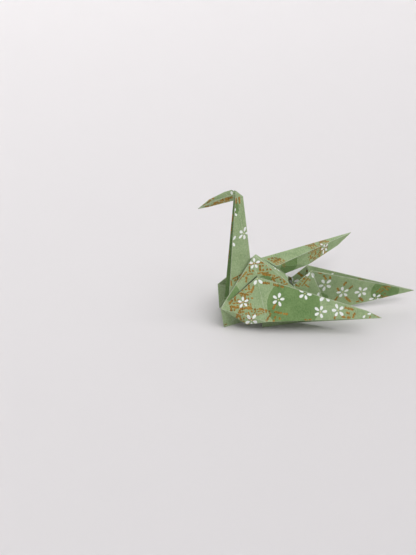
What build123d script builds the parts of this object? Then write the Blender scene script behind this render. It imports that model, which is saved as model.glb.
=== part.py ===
# Folded paper crane: one square sheet, folded into a body with a raised neck,
# a trough-shaped tail and two swept-back wings. Millimetres, +Z up.
# X runs from head (-X) to tail (+X), the wings reach out along -Y and +Y.
# The origin is on the floor, under the middle of the crane's bounding box.
from build123d import *
import os

os.makedirs("parts", exist_ok=True)

# ---- driving dimensions -------------------------------------------------
LAYER = 0.5          # thickness of a folded facet (several paper layers)
FOLD_R = 0.27        # outer radius of the soft roll along a fold

BODY_HALF = 11.0     # half width of the body at its shoulders
FOOT_HALF = 10.0     # half width of the body at its front feet
GROUND = -0.15       # height of the middle of the sheet where it touches down
ORIGIN = (51.5, 7.75)  # middle of the bounding box in the drawing below

# corner points of the folds, X Y Z in millimetres
P = {
    # body: the hump and its side corners
    "peak_n":    (24.4, -1.0, 34.0),
    "peak_f":    (24.2, 1.0, 34.4),
    "top":       (22.5, -1.2, 34.2),
    "slit_n":    (23.8, -4.8, 25.5),
    "mid_n":     (24.5, -9.6, 15.1),
    "should_n":  (4.8, -BODY_HALF, 11.6),
    "should_f":  (6.6, BODY_HALF, 13.6),
    "rump_m":    (39.5, -7.0, 21.5),
    "rump_n":    (43.3, -8.5, 18.4),
    "rump_f":    (42.8, 8.5, 16.8),
    "foot_n":    (6.7, -FOOT_HALF, GROUND),
    "foot_f":    (7.3, FOOT_HALF, GROUND),
    "belly_n":   (22.0, -6.0, 9.5),
    "belly_f":   (22.0, 6.0, 9.5),
    "inner_n":   (27.0, -2.5, GROUND),
    "inner_f":   (27.0, 6.5, GROUND),
    "heel_n":    (47.0, -7.0, GROUND),
    "heel_f":    (47.0, 7.0, GROUND),
    # neck: a trough that opens forwards, closed along its spine
    "neck_n":    (13.2, -1.7, 70.7),
    "neck_f":    (13.1, 1.7, 69.6),
    "nape":      (17.0, 0.0, 66.8),
    "crotch":    (24.4, 0.0, 7.0),
    "base_n":    (9.3, -8.0, 12.7),
    "base_f":    (9.0, 3.5, 9.9),
    # head: a trough that opens upwards
    "throat":    (12.4, 0.0, 65.0),
    "brow_n":    (12.2, -1.2, 68.7),
    "brow_f":    (11.7, 1.3, 70.1),
    "crown_f":   (8.0, 1.3, 69.1),
    "cheek_n":   (1.6, -1.1, 65.5),
    "cheek_f":   (0.6, 0.9, 65.8),
    "jaw":       (0.3, 0.0, 62.4),
    "beak":      (-4.9, 0.0, 61.7),
    # near wing: outer layer, fold along the top, inner layer
    "wing_n":    (23.7, -6.5, 25.6),
    "tip_n":     (82.4, -28.5, 10.0),
    "bend_n":    (75.2, -25.2, 12.9),
    "corner_n":  (17.5, -14.5, 3.6),
    "crease_n":  (26.9, -19.0, 6.7),
    "sole_n1":   (25.9, -12.9, GROUND),
    "sole_n2":   (45.0, -10.6, GROUND),
    # far wing
    "wing_f":    (29.9, 15.0, 25.0),
    "tip_f":     (85.0, 44.0, 22.1),
    "ridge_f":   (36.4, 9.0, 22.7),
    "lip_f":     (42.4, 14.0, 15.6),
    "lip_m":     (56.9, 23.0, 15.2),
    "lip_f2":    (76.1, 38.0, 17.7),
    "corner_f":  (18.0, 17.0, 6.0),
    "crease_f":  (34.0, 18.0, 11.0),
    "sole_f1":   (27.0, 12.5, GROUND),
    "sole_f2":   (45.0, 10.5, GROUND),
    # tail: root panels and a trough that opens upwards
    "root_n":    (42.6, -6.0, 19.3),
    "root_f":    (44.2, 6.0, 17.4),
    "apex_n":    (52.0, -3.2, 25.4),
    "apex_f":    (51.5, 4.0, 24.9),
    "flap_n":    (59.5, -8.5, 6.5),
    "flap_f":    (59.5, 8.0, 6.5),
    "keel":      (66.0, 0.0, GROUND),
    "keel_in":   (54.0, 0.0, 3.0),
    "tip_t":     (107.9, 0.0, 8.2),
}

# facets of the folded sheet, three corners each
FACETS = [
    # hump
    ("top", "should_n", "slit_n"),
    ("peak_n", "top", "slit_n"),
    ("peak_n", "slit_n", "rump_n"),
    ("slit_n", "mid_n", "rump_n"),
    ("peak_f", "should_f", "rump_f"),
    ("peak_n", "peak_f", "top"),
    ("peak_n", "peak_f", "rump_m"),
    ("peak_f", "rump_m", "rump_f"),
    # lower body
    ("should_n", "foot_n", "belly_n"),
    ("foot_n", "belly_n", "inner_n"),
    ("should_n", "belly_n", "rump_n"),
    ("belly_n", "rump_n", "heel_n"),
    ("rump_n", "root_n", "heel_n"),
    ("should_f", "foot_f", "belly_f"),
    ("foot_f", "belly_f", "inner_f"),
    ("should_f", "belly_f", "rump_f"),
    ("belly_f", "rump_f", "heel_f"),
    ("rump_f", "root_f", "heel_f"),
    # neck
    ("neck_n", "base_n", "crotch"),
    ("base_n", "foot_n", "crotch"),
    ("neck_n", "crotch", "nape"),
    ("neck_f", "base_f", "crotch"),
    ("base_f", "foot_f", "crotch"),
    ("neck_f", "crotch", "nape"),
    # head
    ("nape", "throat", "brow_n"),
    ("throat", "brow_n", "cheek_n"),
    ("throat", "cheek_n", "jaw"),
    ("jaw", "cheek_n", "beak"),
    ("nape", "throat", "brow_f"),
    ("throat", "brow_f", "crown_f"),
    ("throat", "crown_f", "cheek_f"),
    ("throat", "cheek_f", "jaw"),
    ("jaw", "cheek_f", "beak"),
    # near wing
    ("should_n", "wing_n", "crease_n"),
    ("should_n", "crease_n", "corner_n"),
    ("wing_n", "crease_n", "bend_n"),
    ("crease_n", "bend_n", "tip_n"),
    ("wing_n", "sole_n1", "sole_n2"),
    ("wing_n", "sole_n2", "bend_n"),
    ("sole_n2", "bend_n", "tip_n"),
    # far wing
    ("should_f", "wing_f", "crease_f"),
    ("should_f", "crease_f", "corner_f"),
    ("wing_f", "crease_f", "tip_f"),
    ("wing_f", "tip_f", "ridge_f"),
    ("ridge_f", "tip_f", "lip_f2"),
    ("ridge_f", "lip_f2", "lip_m"),
    ("ridge_f", "lip_m", "lip_f"),
    ("ridge_f", "lip_f", "sole_f1"),
    ("lip_f", "sole_f1", "sole_f2"),
    # tail
    ("root_n", "apex_n", "heel_n"),
    ("apex_n", "heel_n", "flap_n"),
    ("root_f", "apex_f", "heel_f"),
    ("apex_f", "heel_f", "flap_f"),
    ("apex_n", "tip_t", "keel"),
    ("apex_n", "keel", "keel_in"),
    ("apex_f", "tip_t", "keel"),
    ("apex_f", "keel", "keel_in"),
]

shift = Vector(-ORIGIN[0], -ORIGIN[1], 0)
pts = {name: Vector(*xyz) + shift for name, xyz in P.items()}

# every edge that two facets share is a fold
edge_use = {}
for facet in FACETS:
    for i in range(3):
        key = tuple(sorted((facet[i], facet[(i + 1) % 3])))
        edge_use[key] = edge_use.get(key, 0) + 1
FOLDS = sorted(key for key, n in edge_use.items() if n > 1)

with BuildPart() as crane:
    # flat facets, each a thin plate centred on its triangle
    for a, b, c in FACETS:
        va, vb, vc = pts[a], pts[b], pts[c]
        plane = Plane(origin=va, x_dir=vb - va, z_dir=(vb - va).cross(vc - va))
        with BuildSketch(plane):
            with BuildLine():
                Polyline(*[(q.X, q.Y) for q in map(plane.to_local_coords, (va, vb, vc))], close=True)
            make_face()
        extrude(amount=LAYER / 2, both=True)
    # soft rolls along the folds
    for a, b in FOLDS:
        va, vb = pts[a], pts[b]
        run = vb - va
        with BuildSketch(Plane(origin=va, z_dir=run)):
            Circle(FOLD_R)
        extrude(amount=run.length)
    # feet, heels and wing soles touch the floor in small flats
    split(bisect_by=Plane.XY, keep=Keep.TOP)

crane.part.label = "crane"
export_step(crane.part, "parts/crane.step")
print("solids", len(crane.part.solids()), "valid", crane.part.is_valid, "volume", crane.part.volume)
print("box", crane.part.bounding_box())
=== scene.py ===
import bpy, math, random
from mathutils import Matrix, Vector, noise
from mathutils.geometry import delaunay_2d_cdt


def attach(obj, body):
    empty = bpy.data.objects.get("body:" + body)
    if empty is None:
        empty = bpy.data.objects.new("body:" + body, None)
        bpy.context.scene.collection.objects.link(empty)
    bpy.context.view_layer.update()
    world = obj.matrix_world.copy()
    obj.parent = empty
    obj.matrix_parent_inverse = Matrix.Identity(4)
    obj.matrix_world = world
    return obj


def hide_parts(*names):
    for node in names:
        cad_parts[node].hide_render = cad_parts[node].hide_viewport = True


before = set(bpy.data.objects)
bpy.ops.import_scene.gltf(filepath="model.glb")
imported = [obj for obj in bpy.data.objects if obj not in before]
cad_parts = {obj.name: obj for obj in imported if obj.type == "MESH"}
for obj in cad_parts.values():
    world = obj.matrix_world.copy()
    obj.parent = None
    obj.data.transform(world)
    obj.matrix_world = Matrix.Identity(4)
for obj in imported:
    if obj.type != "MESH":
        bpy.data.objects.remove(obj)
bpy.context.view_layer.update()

# ---------------------------------------------------------------- fold points
# millimetres, the same points as the CAD part
OX, OY = 51.5, 7.75
BH, FH, GR = 11.0, 10.0, 0.16
P = {
    "peak_n": (24.4, -1.0, 34.0), "peak_f": (24.2, 1.0, 34.4), "top": (22.5, -1.2, 34.2),
    "slit_n": (23.8, -4.8, 25.5), "mid_n": (24.5, -9.6, 15.1), "should_n": (4.8, -BH, 11.6), "should_f": (6.6, BH, 13.6),
    "rump_m": (39.5, -7.0, 21.5), "rump_n": (43.3, -8.5, 18.4), "rump_f": (42.8, 8.5, 16.8),
    "foot_n": (6.7, -FH, GR), "foot_f": (7.3, FH, GR),
    "belly_n": (22.0, -6.0, 9.5), "belly_f": (22.0, 6.0, 9.5),
    "inner_n": (27.0, -2.5, GR), "inner_f": (27.0, 6.5, GR),
    "heel_n": (47.0, -7.0, GR), "heel_f": (47.0, 7.0, GR),
    "neck_n": (13.2, -1.7, 70.7), "neck_f": (13.1, 1.7, 69.6), "nape": (17.0, 0.0, 66.8),
    "crotch": (24.4, 0.0, 7.0), "base_n": (9.3, -8.0, 12.7), "base_f": (9.0, 3.5, 9.9),
    "throat": (12.4, 0.0, 65.0), "brow_n": (12.2, -1.2, 68.7), "brow_f": (11.7, 1.3, 70.1), "crown_f": (8.0, 1.3, 69.1),
    "cheek_n": (1.6, -1.1, 65.5), "cheek_f": (0.6, 0.9, 65.8), "jaw": (0.3, 0.0, 62.4), "beak": (-4.9, 0.0, 61.7),
    "wing_n": (23.7, -6.5, 25.6), "tip_n": (82.4, -28.5, 10.0), "bend_n": (75.2, -25.2, 12.9),
    "corner_n": (17.5, -14.5, 3.6), "crease_n": (26.9, -19.0, 6.7),
    "sole_n1": (25.9, -12.9, GR), "sole_n2": (45.0, -10.6, GR),
    "wing_f": (29.9, 15.0, 25.0), "tip_f": (85.0, 44.0, 22.1), "ridge_f": (36.4, 9.0, 22.7),
    "lip_f": (42.4, 14.0, 15.6), "lip_m": (56.9, 23.0, 15.2), "lip_f2": (76.1, 38.0, 17.7), "corner_f": (18.0, 17.0, 6.0), "crease_f": (34.0, 18.0, 11.0),
    "sole_f1": (27.0, 12.5, GR), "sole_f2": (45.0, 10.5, GR),
    "root_n": (42.6, -6.0, 19.3), "root_f": (44.2, 6.0, 17.4),
    "apex_n": (52.0, -3.2, 25.4), "apex_f": (51.5, 4.0, 24.9),
    "flap_n": (59.5, -8.5, 6.5), "flap_f": (59.5, 8.0, 6.5),
    "keel": (66.0, 0.0, GR), "keel_in": (54.0, 0.0, 3.0), "tip_t": (107.9, 0.0, 8.2),
}
PT = {k: Vector((x - OX, y - OY, z)) for k, (x, y, z) in P.items()}

# print groups: facets that share one stretch of the printed sheet
GROUPS = {
    "nwing": [("should_n", "wing_n", "crease_n"), ("should_n", "crease_n", "corner_n"), ("wing_n", "crease_n", "bend_n"), ("crease_n", "bend_n", "tip_n")],
    "nsole": [("wing_n", "sole_n1", "sole_n2"), ("wing_n", "sole_n2", "bend_n"), ("sole_n2", "bend_n", "tip_n")],
    "hump_n": [("top", "should_n", "slit_n"), ("peak_n", "top", "slit_n"), ("peak_n", "slit_n", "rump_n"), ("slit_n", "mid_n", "rump_n")],
    "hump_f": [("peak_f", "should_f", "rump_f")],
    "hump_t": [("peak_n", "peak_f", "top")],
    "hump_r": [("peak_f", "rump_m", "rump_f"), ("peak_n", "peak_f", "rump_m")],
    "body_n": [("should_n", "foot_n", "belly_n"), ("foot_n", "belly_n", "inner_n"), ("should_n", "belly_n", "rump_n"), ("belly_n", "rump_n", "heel_n"), ("rump_n", "root_n", "heel_n")],
    "body_f": [("should_f", "foot_f", "belly_f"), ("foot_f", "belly_f", "inner_f"), ("should_f", "belly_f", "rump_f"), ("belly_f", "rump_f", "heel_f"), ("rump_f", "root_f", "heel_f")],
    "neck_n": [("neck_n", "base_n", "crotch"), ("neck_n", "crotch", "nape"), ("base_n", "foot_n", "crotch")],
    "neck_f": [("neck_f", "base_f", "crotch"), ("neck_f", "crotch", "nape"), ("base_f", "foot_f", "crotch")],
    "head_n": [("nape", "throat", "brow_n"), ("throat", "brow_n", "cheek_n"), ("throat", "cheek_n", "jaw"), ("jaw", "cheek_n", "beak")],
    "head_f": [("nape", "throat", "brow_f"), ("throat", "brow_f", "crown_f"), ("throat", "crown_f", "cheek_f"),
               ("throat", "cheek_f", "jaw"), ("jaw", "cheek_f", "beak")],
    "fwing_o": [("should_f", "wing_f", "crease_f"), ("should_f", "crease_f", "corner_f"), ("wing_f", "crease_f", "tip_f")],
    "fwing_t": [("wing_f", "tip_f", "ridge_f")],
    "fwing_l": [("ridge_f", "tip_f", "lip_f2"), ("ridge_f", "lip_f2", "lip_m"), ("ridge_f", "lip_m", "lip_f")],
    "fsole": [("ridge_f", "lip_f", "sole_f1"), ("lip_f", "sole_f1", "sole_f2")],
    "root_n": [("root_n", "apex_n", "heel_n"), ("apex_n", "heel_n", "flap_n")],
    "root_f": [("root_f", "apex_f", "heel_f"), ("apex_f", "heel_f", "flap_f")],
    "tail_n": [("apex_n", "tip_t", "keel"), ("apex_n", "keel", "keel_in")],
    "tail_f": [("apex_f", "tip_t", "keel"), ("apex_f", "keel", "keel_in")],
}
REF = {"nwing": 2, "nsole": 0, "neck_n": 0, "neck_f": 0, "head_n": 1, "head_f": 1, "tail_n": 0, "tail_f": 0,
       "root_n": 1, "root_f": 1, "fwing_o": 2}

HALF = 0.13          # half thickness of the folded paper
random.seed(7)

# ---------------------------------------------------------------- the photo's camera, millimetres
W, H, LENS = 416, 555, 70.0
PHI, ELE, DIST = math.radians(8), math.radians(28), 540.0
TARGET = Vector((-OX, -OY, 23.68))
back = Vector((-math.sin(PHI) * math.cos(ELE), -math.cos(PHI) * math.cos(ELE), math.sin(ELE)))
CAM = TARGET + back * DIST
RIGHT = Vector((math.cos(PHI), -math.sin(PHI), 0))
UP = RIGHT.cross(-back)
FPX = LENS / 36 * H


def ray(px, py):
    return (-back + RIGHT * ((px - W / 2) / FPX) - UP * ((py - H / 2) / FPX)).normalized()


def facet_plane(f):
    a, b, c = (PT[k] for k in f)
    n = (b - a).cross(c - a).normalized()
    return a, n


def ref_frame(group):
    a, n = facet_plane(GROUPS[group][REF.get(group, 0)])
    if n.dot(back) < 0:
        n = -n
    x = RIGHT - n * RIGHT.dot(n)
    x.normalize()
    return a, n, x, n.cross(x)


def spot(group, px, py):
    """A point of the group's own plane, under a pixel of the reference view."""
    a, n, x, y = ref_frame(group)
    d = ray(px, py)
    t = (a - CAM).dot(n) / d.dot(n)
    p = CAM + d * t - a
    return p.dot(x), p.dot(y)


# ---------------------------------------------------------------- print shapes and painted shade fields, in group plane coordinates
WHITE, GOLD, DARK, PALE = 2, 3, 1, 4
SHAPES = {g: [] for g in GROUPS}     # lists of (level, polygon)


def rot(p, a):
    c, s = math.cos(a), math.sin(a)
    return p[0] * c - p[1] * s, p[0] * s + p[1] * c


def poly(group, level, pts):
    SHAPES[group].append((level, pts))


def blossom(group, cx, cy, size=3.35, turn=0.0, keep=range(5)):
    """Five rounded petals round a pale centre."""
    prof = [(0.25, 0.0), (0.32, 0.095), (0.48, 0.175), (0.66, 0.222), (0.83, 0.205), (0.95, 0.125), (1.0, 0.0),
            (0.95, -0.125), (0.83, -0.205), (0.66, -0.222), (0.48, -0.175), (0.32, -0.095)]
    for k in keep:
        a = turn + k * 2 * math.pi / 5
        w = 1 + 0.06 * math.sin(3.1 * k + cx)
        a += 0.09 * math.sin(5.3 * k + cy)
        far = 1 + 0.07 * math.sin(2.3 * k + 1.7 * cx)
        pts = [rot((u * size * far, v * size * w), a) for u, v in prof]
        poly(group, WHITE, [(cx + x, cy + y) for x, y in pts])
    poly(group, PALE, [(cx + 0.3 * math.cos(t), cy + 0.3 * math.sin(t)) for t in [i * math.pi / 4 for i in range(8)]])


def disc(group, cx, cy, r, level=DARK, squash=1.0, n=36):
    poly(group, level, [(cx + r * math.cos(2 * math.pi * i / n), cy + squash * r * math.sin(2 * math.pi * i / n)) for i in range(n)])


def stroke(group, x0, y0, x1, y1, w=0.55):
    """One brushed dash with slightly uneven sides."""
    L = math.hypot(x1 - x0, y1 - y0)
    if L < 1e-6:
        return
    ux, uy = (x1 - x0) / L, (y1 - y0) / L
    top, bot = [], []
    m = max(4, int(L / 0.3))
    for i in range(m + 1):
        t = i / m
        end = 0.65 if i in (0, m) else 1
        bx, by = x0 + ux * L * t, y0 + uy * L * t
        for side, out in ((1, top), (-1, bot)):
            ww = w * (0.64 + 0.3 * random.uniform(-1, 1)) * end * side
            out.append((bx - uy * ww, by + ux * ww))
    poly(group, GOLD, top + bot[::-1])


def dashes(group, x0, y0, x1, y1, dash=4.2, gap=0.5, w=0.6):
    L = math.hypot(x1 - x0, y1 - y0)
    ux, uy = (x1 - x0) / L, (y1 - y0) / L
    s = 0.0
    while s < L:
        e = min(L, s + dash * random.uniform(0.75, 1.2))
        if e - s > 0.3:
            stroke(group, x0 + ux * s, y0 + uy * s, x0 + ux * e, y0 + uy * e, w)
        s = e + gap


def lattice(group, cx, cy, r, turn=0.4, cell=2.7, w=0.62, squash=1.0):
    """A round patch of rounded cells, each with four ragged squares in it."""
    cell *= 2.2
    n = int(r / cell) + 2
    bar, gap = cell * 0.4, cell * 0.44
    for i in range(-n, n + 1):
        for j in range(-n, n + 1):
            a, b = i * cell + (0.5 * cell if j % 2 else 0.0), j * cell * 0.92
            for k in range(4):
                q = k * math.pi / 2
                ends = [rot((-bar * 0.72, gap), q), rot((0, gap * 1.1), q), rot((bar * 0.72, gap), q)]
                mx, my = a + ends[1][0], b + ends[1][1]
                if math.hypot(mx, my) > r or random.random() > 0.8:
                    continue
                for e0, e1 in zip(ends, ends[1:]):
                    p, t = rot((a + e0[0], b + e0[1]), turn), rot((a + e1[0], b + e1[1]), turn)
                    stroke(group, cx + p[0], cy + p[1] * squash, cx + t[0], cy + t[1] * squash, w)
            for du, dv in ((-1, -1), (1, -1), (-1, 1), (1, 1)):
                mx, my = a + du * cell * 0.185, b + dv * cell * 0.185
                if math.hypot(mx, my) < r and random.random() < 0.85:
                    e = cell * 0.1
                    p, t = rot((mx - e, my), turn), rot((mx + e, my + 0.1), turn)
                    stroke(group, cx + p[0], cy + p[1] * squash, cx + t[0], cy + t[1] * squash, e * 1.5)


def ripples(group, cx, cy, radii=(1.2, 2.3, 3.4), a0=0.2, a1=2.9, w=0.5):
    """Broken arcs round one centre, as in the traditional wave pattern."""
    for r in radii:
        k = max(2, int(r * (a1 - a0) / 2.0))
        for i in range(k):
            s0 = a0 + (a1 - a0) * (i + 0.08) / k
            s1 = a0 + (a1 - a0) * (i + 0.86) / k
            sm = (s0 + s1) / 2
            stroke(group, cx + r * math.cos(s0), cy + r * math.sin(s0), cx + r * math.cos(sm), cy + r * math.sin(sm), w)
            stroke(group, cx + r * math.cos(sm), cy + r * math.sin(sm), cx + r * math.cos(s1), cy + r * math.sin(s1), w)


def rays(group, cx, cy, r0, r1, n, turn=0.0, w=0.5):
    for k in range(n):
        a = turn + k * 2 * math.pi / n
        dashes(group, cx + r0 * math.cos(a), cy + r0 * math.sin(a), cx + r1 * math.cos(a), cy + r1 * math.sin(a), 3.0, 0.35, w)


def at(kind, group, px, py, *args, **kw):
    x, y = spot(group, px, py)
    kind(group, x, y, *args, **kw)


def line_at(group, x0, y0, x1, y1, **kw):
    a, b = spot(group, x0, y0), spot(group, x1, y1)
    dashes(group, a[0], a[1], b[0], b[1], **kw)


# near wing
at(disc, "nwing", 293.6, 304.5, 13.1, squash=0.98)
at(lattice, "nwing", 240, 298, 7.0, turn=0.12, cell=2.3)
at(lattice, "nwing", 245, 316, 5.2, turn=0.35, cell=2.2)
at(ripples, "nwing", 260.4, 315.0, (0.9, 2.0, 3.1), 0.3, 3.6)
line_at("nwing", 254.2, 286, 250, 294.5, w=0.85)
line_at("nwing", 239.5, 293.6, 249, 294.6, w=0.8)
line_at("nwing", 229, 304.5, 232.4, 299.5, w=0.75)
line_at("nwing", 236, 318, 241, 309.5, w=0.85)
line_at("nwing", 230.5, 306.3, 239, 308.0, w=0.9)
line_at("nwing", 245, 307.8, 256, 309.6, w=0.9)
line_at("nwing", 259, 308.8, 270.3, 311.6, w=0.75)
line_at("nwing", 274, 311.8, 288, 314.4, w=0.75)
line_at("nwing", 276, 304, 272.6, 309.5, w=0.85)
line_at("nwing", 266, 321.6, 271.2, 313, w=0.75)
for x, y in ((275.0, 317.3), (279.6, 318.2), (273.6, 320.8)):
    line_at("nwing", x - 1.0, y, x + 1.2, y + 0.5, w=1.0)
line_at("nwing", 262, 282.6, 270, 283.4, w=0.85)
line_at("nwing", 273, 284.4, 284, 287.2, w=0.85)
line_at("nwing", 304.5, 319.4, 307.5, 320.4, w=0.7)
line_at("nwing", 308.5, 319.9, 311.5, 319.4, w=0.7)
for x, y, t in ((278.3, 299.7, 0.05), (304.9, 293.6, -0.1), (320.4, 311.9, 0.0), (338.2, 310.5, 0.55), (251.4, 320.3, 0.94)):
    at(blossom, "nwing", x, y, 3.3, t)
at(blossom, "nwing", 243.1, 302.4, 2.75, 0.45)
at(blossom, "nwing", 257.2, 278.4, 3.4, -1.95, keep=(0, 1))
at(blossom, "nwing", 325.1, 295.4, 3.6, -2.3, keep=(0, 1))
at(blossom, "nwing", 366.0, 314.2, 2.4, -2.3, keep=(0, 2))
line_at("nwing", 344.5, 307.6, 354, 309.9, w=0.85)
line_at("nwing", 341.5, 316.5, 345.5, 317.4, w=0.85)
line_at("nwing", 346, 312.6, 350, 313.4, w=1.1)
line_at("nwing", 347, 317.0, 350.5, 317.6, w=1.0)
line_at("nwing", 352.6, 318.0, 355, 312.6, w=0.9)
line_at("nwing", 334, 319.2, 336, 315, w=0.8)
line_at("nwing", 369.3, 316.8, 370.6, 317.2, w=1.3)
line_at("nwing", 373.5, 313.9, 380, 317.0, w=0.75)
# hump
# flattened dark field along the near wing's top edge: partly print, partly painted shade where the hump meets the wing
at(disc, "hump_n", 264.8, 279.2, 3.4, squash=0.6)
at(lattice, "hump_n", 254.6, 268.6, 3.9, turn=0.1, cell=2.5)
at(lattice, "hump_n", 265.0, 267.8, 2.9, turn=0.1, cell=2.5)
at(lattice, "hump_n", 279.0, 281.6, 4.0, turn=0.3, cell=2.2)
line_at("hump_n", 246, 282.5, 246.4, 276.5, w=0.7)
line_at("hump_n", 272.0, 276.8, 275.0, 282.4, w=0.8)
line_at("hump_n", 233, 281.5, 244, 275.8, w=0.7)
line_at("hump_n", 262, 274.0, 273, 275.4, w=0.95)
at(disc, "hump_n", 230.8, 292.3, 4.3)
at(blossom, "hump_n", 254.4, 263.4, 2.8, 0.35)
line_at("hump_n", 236, 283, 247, 271.5, w=0.6)
at(blossom, "hump_r", 276.2, 269.0, 3.0, 0.5, keep=(0, 2, 3))
at(blossom, "hump_r", 289.5, 279.0, 3.0, 0.2, keep=(1, 2, 4))
# neck
at(disc, "neck_n", 232.0, 209.5, 4.4)
at(blossom, "neck_n", 243.6, 233.3, 3.3, 1.2)
at(blossom, "neck_n", 232.0, 241.5, 3.2, 0.9, keep=(0,))
at(blossom, "neck_n", 232.0, 241.5, 3.2, -1.0, keep=(0,))
at(blossom, "neck_n", 234.4, 212.5, 2.6, -1.06, keep=(0,))
at(blossom, "neck_n", 234.4, 212.5, 2.3, 1.27, keep=(0,))
line_at("neck_n", 238.7, 196.8, 239.5, 203.6, w=0.85)
line_at("neck_n", 235.8, 197.8, 236.1, 203.6, w=0.8)
line_at("neck_n", 232, 279.0, 243.5, 273.4, w=0.7)
line_at("neck_n", 231.5, 286, 230.5, 280, w=0.7)
line_at("neck_n", 234, 281, 238, 278.5, w=0.8)
# dark fields down the whole inner neck face: partly deep-green print, partly painted shade of the neck's trough
for x, y in ((233.0, 208), (232.0, 222), (231.0, 236), (229.6, 250), (228.0, 264), (226.5, 278), (225.0, 290)):
    at(disc, "neck_f", x, y, 6.0)
line_at("neck_f", 232.5, 214, 230.3, 234, w=0.7)
line_at("neck_f", 229.0, 250, 227.6, 262, w=0.7)
# head
line_at("head_n", 229.5, 198.0, 212, 204.0, w=1.1, dash=2.2)
line_at("head_n", 229.5, 200.0, 205, 207.2, w=0.8, dash=2.6)
line_at("head_n", 232.5, 197.0, 222, 199.5, w=1.0, dash=1.6)
line_at("head_f", 214, 197.6, 208, 201.2, w=0.9, dash=1.6)
line_at("head_f", 210, 201.6, 202, 206.4, w=0.8, dash=1.6)
at(blossom, "head_f", 232.6, 196.4, 2.8, 1.75, keep=(0,))
# far wing
at(lattice, "fwing_t", 317, 243.5, 6.8, turn=0.2, cell=1.9, w=0.8)
at(ripples, "fwing_t", 277.5, 266.0, (1.6, 3.2, 4.8, 6.4), 0.5, 2.5, w=0.95)
line_at("fwing_t", 273.0, 262.5, 281.0, 258.6, w=0.9)
at(lattice, "fwing_l", 318, 250.5, 8.2, turn=0.2, cell=1.9, w=0.75)
at(disc, "fwing_l", 288.6, 264.0, 6.4)
at(ripples, "fwing_l", 281, 266.5, (1.4, 2.7), -0.6, 0.9, w=0.5)
at(blossom, "fwing_l", 324.3, 248.2, 3.0, 0.5)
at(blossom, "fwing_t", 324.0, 246.6, 3.0, 1.1, keep=(1, 2))
# tail root and tail
at(lattice, "root_n", 300, 280.5, 5.2, turn=0.9, cell=2.2)
at(blossom, "root_n", 311.3, 271.0, 3.6, -2.37, keep=(0, 1))
at(blossom, "root_n", 319.5, 290.5, 3.2, -1.9, keep=(0,))
at(blossom, "tail_n", 311.3, 271.0, 3.6, -2.37, keep=(1,))
for x, y, t, sz in ((325.1, 284.6, 0.75, 3.7), (342.8, 292.2, 0.45, 3.4), (361.3, 291.6, 0.6, 3.5), (375.3, 297.9, 0.7, 3.2)):
    at(blossom, "tail_n", x, y, sz, t)
at(disc, "tail_n", 385.0, 291.0, 7.6)
# dark field at the foot of the root flap: partly print, partly painted shadow of the flap on the tail
at(disc, "tail_n", 320.6, 299.2, 4.0)
line_at("tail_n", 343.5, 285.5, 346.5, 281.6, w=0.95)
line_at("tail_n", 349.0, 289.0, 353.0, 285.4, w=0.8)
line_at("tail_n", 339.0, 291.0, 337.0, 287.6, w=0.8)
line_at("tail_n", 345.0, 296.8, 351.0, 302.2, w=1.0)
line_at("tail_n", 337.6, 296.2, 334.2, 301.6, w=0.9)
line_at("tail_n", 359.2, 297.4, 363.0, 301.4, w=1.0)
line_at("tail_n", 355.8, 302.0, 359.0, 300.6, w=0.9)
line_at("tail_n", 323.5, 275.0, 326.5, 279.5, w=0.8)
line_at("tail_n", 329.6, 276.0, 330.6, 279.0, w=0.8)
for x0, y0, x1, y1 in ((376, 292.5, 382.5, 286.6), (379, 293.0, 383.5, 289.4), (383.5, 286.0, 389.0, 290.8), (385.5, 285.8, 390.5, 287.2),
                       (379.5, 295.4, 383.0, 295.9), (381.5, 297.8, 388, 296.0), (384.0, 293.2, 385.8, 293.6)):
    line_at("tail_n", x0, y0, x1, y1, w=0.6)
at(blossom, "tail_f", 334.5, 272.0, 2.6, 0.2, keep=(3,))
line_at("tail_f", 358, 279.3, 364, 280.8, w=0.8)
line_at("tail_n", 318.0, 272.2, 322.0, 273.4, w=0.8)
# lower body
line_at("body_n", 222, 325.5, 227, 324, w=0.5)


def scatter(group, seed, step=12.5, flowers=0.62, gold=0.45, fields=0.3):
    """The same kinds of print, spread over sheet areas that the reference view doesn't show."""
    rnd = random.Random(seed)
    a, n, x, y = ref_frame(group)
    us, vs = [], []
    for f in GROUPS[group]:
        for k in f:
            q = PT[k] - a
            us.append(q.dot(x)); vs.append(q.dot(y))
    u = min(us)
    while u < max(us) + step:
        v = min(vs)
        while v < max(vs) + step:
            cu, cv = u + rnd.uniform(-3.2, 3.2), v + rnd.uniform(-3.2, 3.2)
            if rnd.random() < fields:
                disc(group, cu + 3, cv - 2, rnd.uniform(6.0, 10.0))
            if rnd.random() < gold:
                lattice(group, cu - 2, cv + 1, rnd.uniform(3.6, 6.0), turn=rnd.uniform(0, 1.5), cell=2.5)
            if rnd.random() < flowers:
                blossom(group, cu, cv, 3.3, rnd.uniform(0, 1.2))
            v += step
        u += step


line_at("nsole", 285.6, 341.4, 289.4, 340.4, w=0.75)
for i, g in enumerate(("body_f", "fwing_o", "fsole", "root_f")):
    scatter(g, 32 + i)


# ---------------------------------------------------------------- paper mesh
# edges inside one flat or gently curved face, with no crease along them
FLAT_EDGES = {("bend_n", "crease_n"), ("bend_n", "sole_n2"), ("peak_f", "rump_m"), ("peak_n", "slit_n"), ("lip_f2", "ridge_f"), ("lip_m", "ridge_f")}


def inside(px, py, pg):
    c, j = False, len(pg) - 1
    for i in range(len(pg)):
        xi, yi = pg[i]
        xj, yj = pg[j]
        if (yi > py) != (yj > py) and px < (xj - xi) * (py - yi) / (yj - yi) + xi:
            c = not c
        j = i
    return c


verts, faces, mats, edgew, sharp = [], [], [], [], []


def seg_dist(px, py, a, b):
    dx, dy = b[0] - a[0], b[1] - a[1]
    t = max(0, min(1, ((px - a[0]) * dx + (py - a[1]) * dy) / (dx * dx + dy * dy)))
    return math.hypot(px - a[0] - t * dx, py - a[1] - t * dy)


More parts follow.
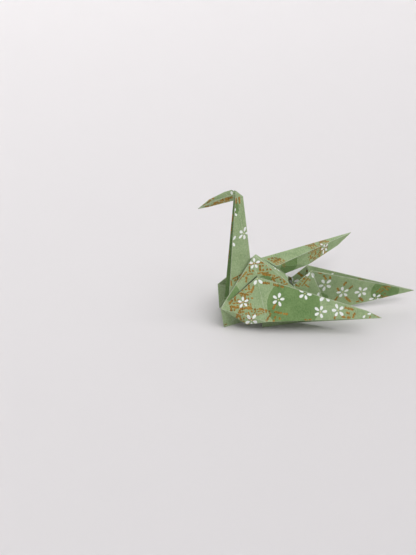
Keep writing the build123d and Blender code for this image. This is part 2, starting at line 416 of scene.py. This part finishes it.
def add_facet(group, f, idx):
    A, B, C = (PT[k] for k in f)
    n = (B - A).cross(C - A).normalized()
    ra, rn, rx, ry = ref_frame(group)
    if n.dot(rn) < 0:
        B, C = C, B
        n = -n
    X = (B - A).normalized()
    Y = n.cross(X)
    loc = lambda q: ((q - A).dot(X), (q - A).dot(Y))
    tri = [loc(A), loc(B), loc(C)]
    name = {tuple(PT[k]): k for k in f}
    corner = [name[tuple(q)] for q in (A, B, C)]
    flat = [tuple(sorted((corner[i], corner[(i + 1) % 3]))) in FLAT_EDGES for i in range(3)]
    cx, cy = sum(p[0] for p in tri) / 3, sum(p[1] for p in tri) / 3
    per = [math.dist(tri[i], tri[(i + 1) % 3]) for i in range(3)]
    area = abs((tri[1][0] - tri[0][0]) * (tri[2][1] - tri[0][1]) - (tri[2][0] - tri[0][0]) * (tri[1][1] - tri[0][1])) / 2
    inr = 2 * area / sum(per)
    ic = tuple((per[1] * tri[0][k] + per[2] * tri[1][k] + per[0] * tri[2][k]) / sum(per) for k in (0, 1))
    band = min(0.32, inr * 0.35)
    s = (inr - band) / inr
    inset = [(ic[0] + (p[0] - ic[0]) * s, ic[1] + (p[1] - ic[1]) * s) for p in tri]
    pv, pe = [], []

    def loop(pts, close=True):
        k = len(pv)
        pv.extend(Vector(p) for p in pts)
        m = len(pts)
        pe.extend((k + i, k + (i + 1) % m) for i in range(m if close else m - 1))

    # outline with points every few millimetres
    ring = []
    for i in range(3):
        a, b = tri[i], tri[(i + 1) % 3]
        m = max(2, int(math.dist(a, b) / 2.5))
        ring += [(a[0] + (b[0] - a[0]) * t / m, a[1] + (b[1] - a[1]) * t / m) for t in range(m)]
    loop(ring)
    loop(inset)
    # shapes of the print and of the painted shade fields, carried from the group's plane to this facet
    lo = [min(p[k] for p in tri) for k in (0, 1)]
    hi = [max(p[k] for p in tri) for k in (0, 1)]
    shapes = []
    for level, pts in SHAPES[group]:
        q = []
        for u, v in pts:
            w = ra + rx * u + ry * v
            w = w + rn * ((A - w).dot(n) / rn.dot(n))
            q.append(loc(w))
        bb = (min(p[0] for p in q), min(p[1] for p in q), max(p[0] for p in q), max(p[1] for p in q))
        if bb[0] > hi[0] or bb[2] < lo[0] or bb[1] > hi[1] or bb[3] < lo[1]:
            continue
        if not any(inside(x, y, tri) for x, y in q) and level != DARK:
            continue
        shapes.append((level, q, bb))
        loop(q)
    # free points that let the sheet bow a little
    g = 2.4
    i = lo[0]
    while i < hi[0]:
        j = lo[1]
        while j < hi[1]:
            px, py = i + random.uniform(-0.3, 0.3), j + random.uniform(-0.3, 0.3)
            if inside(px, py, inset):
                pv.append(Vector((px, py)))
            j += g
        i += g
    ov, oe, of_, _, _, _ = delaunay_2d_cdt(pv, pe, [], 0, 1e-4)
    level_of = []
    keep = []
    for t in of_:
        mx = sum(ov[k].x for k in t) / len(t)
        my = sum(ov[k].y for k in t) / len(t)
        if not inside(mx, my, tri):
            continue
        lv = 0
        for level, q, bb in shapes:
            if bb[0] <= mx <= bb[2] and bb[1] <= my <= bb[3] and inside(mx, my, q):
                rank = {DARK: 1, GOLD: 2, WHITE: 3, PALE: 4}[level]
                if rank > {0: 0, DARK: 1, GOLD: 2, WHITE: 3, PALE: 4}[lv]:
                    lv = level
        keep.append(t)
        level_of.append(lv)
    used = sorted({k for t in keep for k in t})
    amp = min(0.42, inr * 0.055)
    base = len(verts)
    at_of = {}
    for side in (1, -1):
        for k in used:
            x, y = ov[k]
            d = min(seg_dist(x, y, tri[i], tri[(i + 1) % 3]) for i in range(3))
            fall = 1 - math.exp(-((d / (0.55 * inr + 0.5)) ** 2))
            world = A + X * x + Y * y
            h = noise.noise(world * 0.075 + Vector((idx * 3.7, 0, 0))) * 1.5 + 0.45 * noise.noise(world * 0.22 + Vector((0, idx * 2.1, 5)))
            p = world + n * (amp * fall * h + side * HALF)
            at_of[(side, k)] = len(verts)
            verts.append(p * 0.001)
            near = [seg_dist(x, y, tri[i], tri[(i + 1) % 3]) for i in range(3) if not flat[i]]
            edgew.append(1.0 if near and min(near) < band * 0.5 else 0.0)
    for t, lv in zip(keep, level_of):
        t = list(t)
        (x0, y0), (x1, y1), (x2, y2) = (ov[k] for k in t[:3])
        if (x1 - x0) * (y2 - y0) - (x2 - x0) * (y1 - y0) < 0:
            t.reverse()
        faces.append([at_of[(1, k)] for k in t]); mats.append(lv)
        faces.append([at_of[(-1, k)] for k in reversed(t)]); mats.append(lv)
    count = {}
    for t in keep:
        t = list(t)
        (x0, y0), (x1, y1), (x2, y2) = (ov[k] for k in t[:3])
        if (x1 - x0) * (y2 - y0) - (x2 - x0) * (y1 - y0) < 0:
            t.reverse()
        for i in range(len(t)):
            e = (t[i], t[(i + 1) % len(t)])
            count[e] = count.get(e, 0) + 1
    for (a, b) in count:
        if (b, a) not in count:
            faces.append([at_of[(1, b)], at_of[(1, a)], at_of[(-1, a)], at_of[(-1, b)]])
            mats.append(5)
            sharp.append((at_of[(1, a)], at_of[(1, b)]))
            sharp.append((at_of[(-1, a)], at_of[(-1, b)]))


k = 0
for group, fs in GROUPS.items():
    for f in fs:
        add_facet(group, f, k)
        k += 1

# soft rolls along the folds, where two facets meet; the pale rolls on the ridge folds are painted highlight, partly
# worn paper
use = {}
for fs in GROUPS.values():
    for f in fs:
        for i in range(3):
            e = tuple(sorted((f[i], f[(i + 1) % 3])))
            use[e] = use.get(e, 0) + 1
# ridge folds drawn in the pale tone: painted highlight along the fold edges, partly worn paper
PALE_HIGHLIGHT_EDGES = {tuple(sorted(e)) for e in (("peak_n", "rump_n"), ("peak_f", "rump_f"), ("wing_n", "bend_n"), ("bend_n", "tip_n"), ("apex_n", "tip_t"),
                                         ("apex_f", "tip_t"), ("apex_n", "flap_n"), ("top", "should_n"), ("ridge_f", "tip_f"), ("neck_n", "nape"))}
for (a, b), m in sorted(use.items()):
    if (m < 2 and (a, b) not in PALE_HIGHLIGHT_EDGES) or (a, b) in FLAT_EDGES:
        continue
    tone = 5 if (a, b) in PALE_HIGHLIGHT_EDGES else 0
    A, B = PT[a], PT[b]
    d = (B - A).normalized()
    s = d.orthogonal().normalized()
    t = d.cross(s)
    n, L = 10, (B - A).length
    rings = max(2, int(L / 3))
    base = len(verts)
    for i in range(rings + 1):
        c = A + (B - A) * (i / rings)
        r = HALF * (1.2 if tone else 1.03)
        for j in range(n):
            q = 2 * math.pi * j / n
            verts.append((c + (s * math.cos(q) + t * math.sin(q)) * r) * 0.001)
            edgew.append(1.0)
    for i in range(rings):
        for j in range(n):
            faces.append([base + i * n + j, base + i * n + (j + 1) % n, base + (i + 1) * n + (j + 1) % n, base + (i + 1) * n + j])
            mats.append(tone)
    faces.append([base + j for j in reversed(range(n))]); mats.append(tone)
    faces.append([base + rings * n + j for j in range(n)]); mats.append(tone)

me = bpy.data.meshes.new("folded_paper")
me.from_pydata(verts, [], faces)
me.polygons.foreach_set("material_index", mats)
me.polygons.foreach_set("use_smooth", [True] * len(faces))
wear = me.attributes.new("edge_wear", "FLOAT", "POINT")
wear.data.foreach_set("value", edgew)
sh = {tuple(sorted(e)) for e in sharp}
se = me.attributes.new("sharp_edge", "BOOLEAN", "EDGE")
se.data.foreach_set("value", [tuple(sorted(e.vertices)) in sh for e in me.edges])
me.update()
paper = bpy.data.objects.new("folded_paper", me)
bpy.context.scene.collection.objects.link(paper)


# ---------------------------------------------------------------- materials
def lin(r, g, b):
    f = lambda c: c / 12.92 if c <= 0.04045 else ((c + 0.055) / 1.055) ** 2.4
    return f(r / 255), f(g / 255), f(b / 255), 1.0


def paper_material(name, col_a, col_b, rough=0.82, metal=0.0, wear_amount=0.65, bump=0.5, pale=(196, 204, 178), spec=0.3):
    m = bpy.data.materials.new(name)
    m.use_nodes = True
    nt = m.node_tree
    N, Lk = nt.nodes, nt.links
    bsdf = N["Principled BSDF"]
    tc = N.new("ShaderNodeTexCoord")
    big = N.new("ShaderNodeTexNoise"); big.inputs["Scale"].default_value = 210.0; big.inputs["Detail"].default_value = 6.0
    big.inputs["Roughness"].default_value = 0.62
    Lk.new(tc.outputs["Object"], big.inputs["Vector"])
    fib = N.new("ShaderNodeTexNoise"); fib.inputs["Scale"].default_value = 2300.0; fib.inputs["Detail"].default_value = 4.0
    fib.inputs["Roughness"].default_value = 0.7
    Lk.new(tc.outputs["Object"], fib.inputs["Vector"])
    # stretched grain of the long fibres
    mp = N.new("ShaderNodeMapping"); mp.inputs["Scale"].default_value = (2600.0, 420.0, 1400.0)
    mp.inputs["Rotation"].default_value = (0.3, 0.2, 0.6)
    Lk.new(tc.outputs["Object"], mp.inputs["Vector"])
    lng = N.new("ShaderNodeTexNoise"); lng.inputs["Scale"].default_value = 1.0; lng.inputs["Detail"].default_value = 3.0
    Lk.new(mp.outputs["Vector"], lng.inputs["Vector"])
    add = N.new("ShaderNodeMath"); add.operation = "ADD"
    Lk.new(fib.outputs["Fac"], add.inputs[0]); Lk.new(lng.outputs["Fac"], add.inputs[1])
    mul = N.new("ShaderNodeMath"); mul.operation = "MULTIPLY"; mul.inputs[1].default_value = 0.5
    Lk.new(add.outputs[0], mul.inputs[0])
    mixf = N.new("ShaderNodeMath"); mixf.operation = "ADD"
    soft = N.new("ShaderNodeMath"); soft.operation = "MULTIPLY"; soft.inputs[1].default_value = 0.34
    Lk.new(big.outputs["Fac"], soft.inputs[0])
    Lk.new(mul.outputs[0], mixf.inputs[0]); Lk.new(soft.outputs[0], mixf.inputs[1])
    ramp = N.new("ShaderNodeValToRGB")
    ramp.color_ramp.elements[0].position = 0.55; ramp.color_ramp.elements[0].color = lin(*col_a)
    ramp.color_ramp.elements[1].position = 0.78; ramp.color_ramp.elements[1].color = lin(*col_b)
    Lk.new(mixf.outputs[0], ramp.inputs["Fac"])
    at_ = N.new("ShaderNodeAttribute"); at_.attribute_name = "edge_wear"
    wn = N.new("ShaderNodeTexNoise"); wn.inputs["Scale"].default_value = 620.0; wn.inputs["Detail"].default_value = 5.0
    Lk.new(tc.outputs["Object"], wn.inputs["Vector"])
    wr = N.new("ShaderNodeMapRange"); wr.inputs["From Min"].default_value = 0.34; wr.inputs["From Max"].default_value = 0.6
    Lk.new(wn.outputs["Fac"], wr.inputs["Value"])
    wm = N.new("ShaderNodeMath"); wm.operation = "MULTIPLY"
    Lk.new(at_.outputs["Fac"], wm.inputs[0]); Lk.new(wr.outputs["Result"], wm.inputs[1])
    wk = N.new("ShaderNodeMath"); wk.operation = "MULTIPLY"; wk.inputs[1].default_value = wear_amount
    Lk.new(wm.outputs[0], wk.inputs[0])
    mix = N.new("ShaderNodeMix"); mix.data_type = "RGBA"
    Lk.new(wk.outputs[0], mix.inputs["Factor"]); Lk.new(ramp.outputs["Color"], mix.inputs["A"])
    mix.inputs["B"].default_value = lin(*pale)
    Lk.new(mix.outputs["Result"], bsdf.inputs["Base Color"])
    rr = N.new("ShaderNodeMapRange"); rr.inputs["To Min"].default_value = rough - 0.1; rr.inputs["To Max"].default_value = min(1.0, rough + 0.12)
    Lk.new(fib.outputs["Fac"], rr.inputs["Value"]); Lk.new(rr.outputs["Result"], bsdf.inputs["Roughness"])
    bsdf.inputs["Metallic"].default_value = metal
    bsdf.inputs["Specular IOR Level"].default_value = spec
    bp = N.new("ShaderNodeBump"); bp.inputs["Strength"].default_value = bump; bp.inputs["Distance"].default_value = 0.00012
    Lk.new(mul.outputs[0], bp.inputs["Height"]); Lk.new(bp.outputs["Normal"], bsdf.inputs["Normal"])
    return m


for m in (
    paper_material("paper_sage", (136, 159, 114), (168, 188, 144)),
    # deep-green print fields; the same dark fields also serve as painted shade
    paper_material("paper_deep_green_print_and_painted_shade", (98, 130, 76), (128, 156, 100), wear_amount=0.45),
    paper_material("paper_white_print", (232, 236, 232), (250, 252, 250), rough=0.7, wear_amount=0.1, bump=0.15),
    paper_material("paper_gold_print", (104, 78, 12), (184, 140, 50), rough=0.5, metal=0.12, wear_amount=0.5, bump=0.2, spec=0.5),
    paper_material("paper_pale_dot", (200, 192, 130), (226, 218, 170), rough=0.6, bump=0.15),
    # raw paper edges, and the pale painted highlight on the ridge folds
    paper_material("paper_cut_edge_and_fold_highlight", (150, 168, 130), (196, 206, 182), wear_amount=0.6),
):
    me.materials.append(m)

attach(paper, "root")
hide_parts("crane")

# ---------------------------------------------------------------- floor and backdrop, one plain sweep
prof = [(0.0, 0.0), (0.3, 0.0), (0.7, 0.0), (1.1, 0.0)]
for i in range(1, 13):
    t = i / 12 * math.radians(80)
    prof.append((1.1 + 0.9 * math.sin(t), 0.9 * (1 - math.cos(t))))
prof.append((prof[-1][0] + 0.25, prof[-1][1] + 1.4))
SEG = 72
fv, ff = [(0.0, 0.0, 0.0)], []
for r, z in prof[1:]:
    fv += [(r * math.cos(2 * math.pi * i / SEG), r * math.sin(2 * math.pi * i / SEG), z) for i in range(SEG)]
for i in range(SEG):
    j = (i + 1) % SEG
    ff.append((0, 1 + i, 1 + j))
    for k in range(len(prof) - 2):
        p, q = 1 + k * SEG, 1 + (k + 1) * SEG
        ff.append((p + i, q + i, q + j, p + j))
fm = bpy.data.meshes.new("floor")
fm.from_pydata(fv, [], ff)
for p in fm.polygons:
    p.use_smooth = True
floor = bpy.data.objects.new("floor", fm)
bpy.context.scene.collection.objects.link(floor)
mt = bpy.data.materials.new("floor_pale")
mt.use_nodes = True
b = mt.node_tree.nodes["Principled BSDF"]
b.inputs["Base Color"].default_value = (0.8, 0.783, 0.79, 1)
b.inputs["Roughness"].default_value = 0.95
b.inputs["Specular IOR Level"].default_value = 0.1
fm.materials.append(mt)


# ---------------------------------------------------------------- lights
def sun(name, toward, angle, power, col=(1, 1, 1)):
    l = bpy.data.lights.new(name, "SUN")
    l.angle = math.radians(angle); l.energy = power; l.color = col
    o = bpy.data.objects.new(name, l)
    o.rotation_mode = "QUATERNION"
    o.rotation_quaternion = (-Vector(toward)).to_track_quat("-Z", "Y")
    o.location = Vector(toward)
    bpy.context.scene.collection.objects.link(o)
    return o


sun("key", (0.5, -0.5, 0.9), 55, 2.05, (1.0, 0.992, 0.975))
sun("fill", (0.12, -0.87, 0.42), 70, 2.5, (1.0, 0.995, 0.985))
wd = bpy.data.worlds.new("world")
wd.use_nodes = True
wd.node_tree.nodes["Background"].inputs["Color"].default_value = (0.93, 0.95, 1.0, 1)
wd.node_tree.nodes["Background"].inputs["Strength"].default_value = 0.3
bpy.context.scene.world = wd

# ---------------------------------------------------------------- camera
cd = bpy.data.cameras.new("camera")
cd.lens = LENS
cd.sensor_width = 36.0
cd.clip_start, cd.clip_end = 0.01, 20.0
co = bpy.data.objects.new("camera", cd)
co.location = CAM * 0.001
co.rotation_mode = "QUATERNION"
bpy.context.scene.view_settings.view_transform = "Standard"
co.rotation_quaternion = (-back).to_track_quat("-Z", "Y")
bpy.context.scene.collection.objects.link(co)
bpy.context.scene.camera = co
